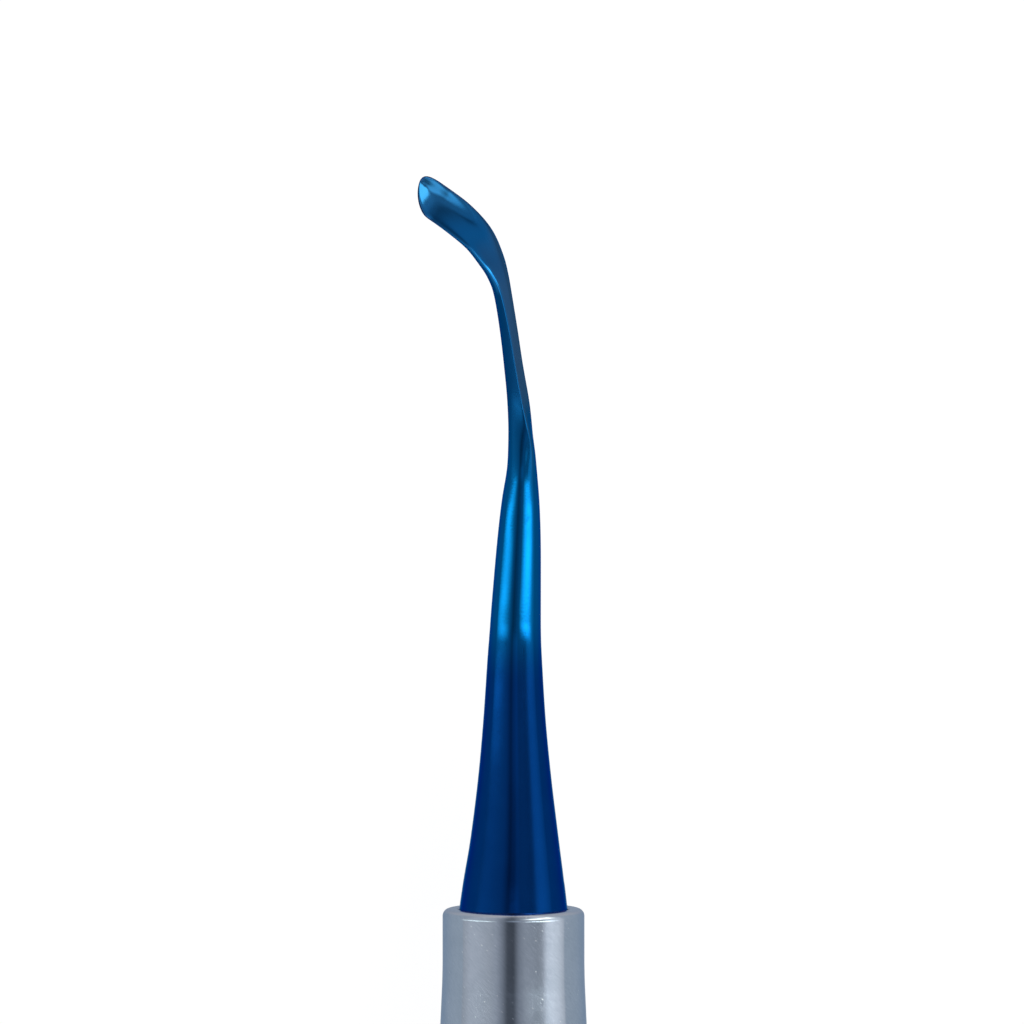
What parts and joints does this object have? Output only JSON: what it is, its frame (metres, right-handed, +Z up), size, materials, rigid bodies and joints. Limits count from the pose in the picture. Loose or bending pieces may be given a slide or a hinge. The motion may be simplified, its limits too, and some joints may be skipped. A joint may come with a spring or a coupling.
{
  "type": "mucosal flap extender",
  "caption": "Dental hand instrument: slim hollow satin handle with a tapered nose and a glossy blue working end that bends into a flat-faced, curved blade.",
  "frame": {"origin": "middle of the instrument's whole length, under the handle's axis, on the surface that it lies on", "axes": "+Y along the handle towards the blade's tip, +Z up from the surface on the side that the blade's face looks to, and the blade bends towards -X"},
  "size_m": [0.0094, 0.1526, 0.0095],
  "materials": {
    "blue_coating": "glossy blue coating on polished steel",
    "satin_steel": "satin stainless steel with fine diagonal hairlines"
  },
  "bodies": {
    "root": {"handle": "satin_steel", "working_end": "blue_coating", "end_plug": "satin_steel"}
  },
  "joints": []
}
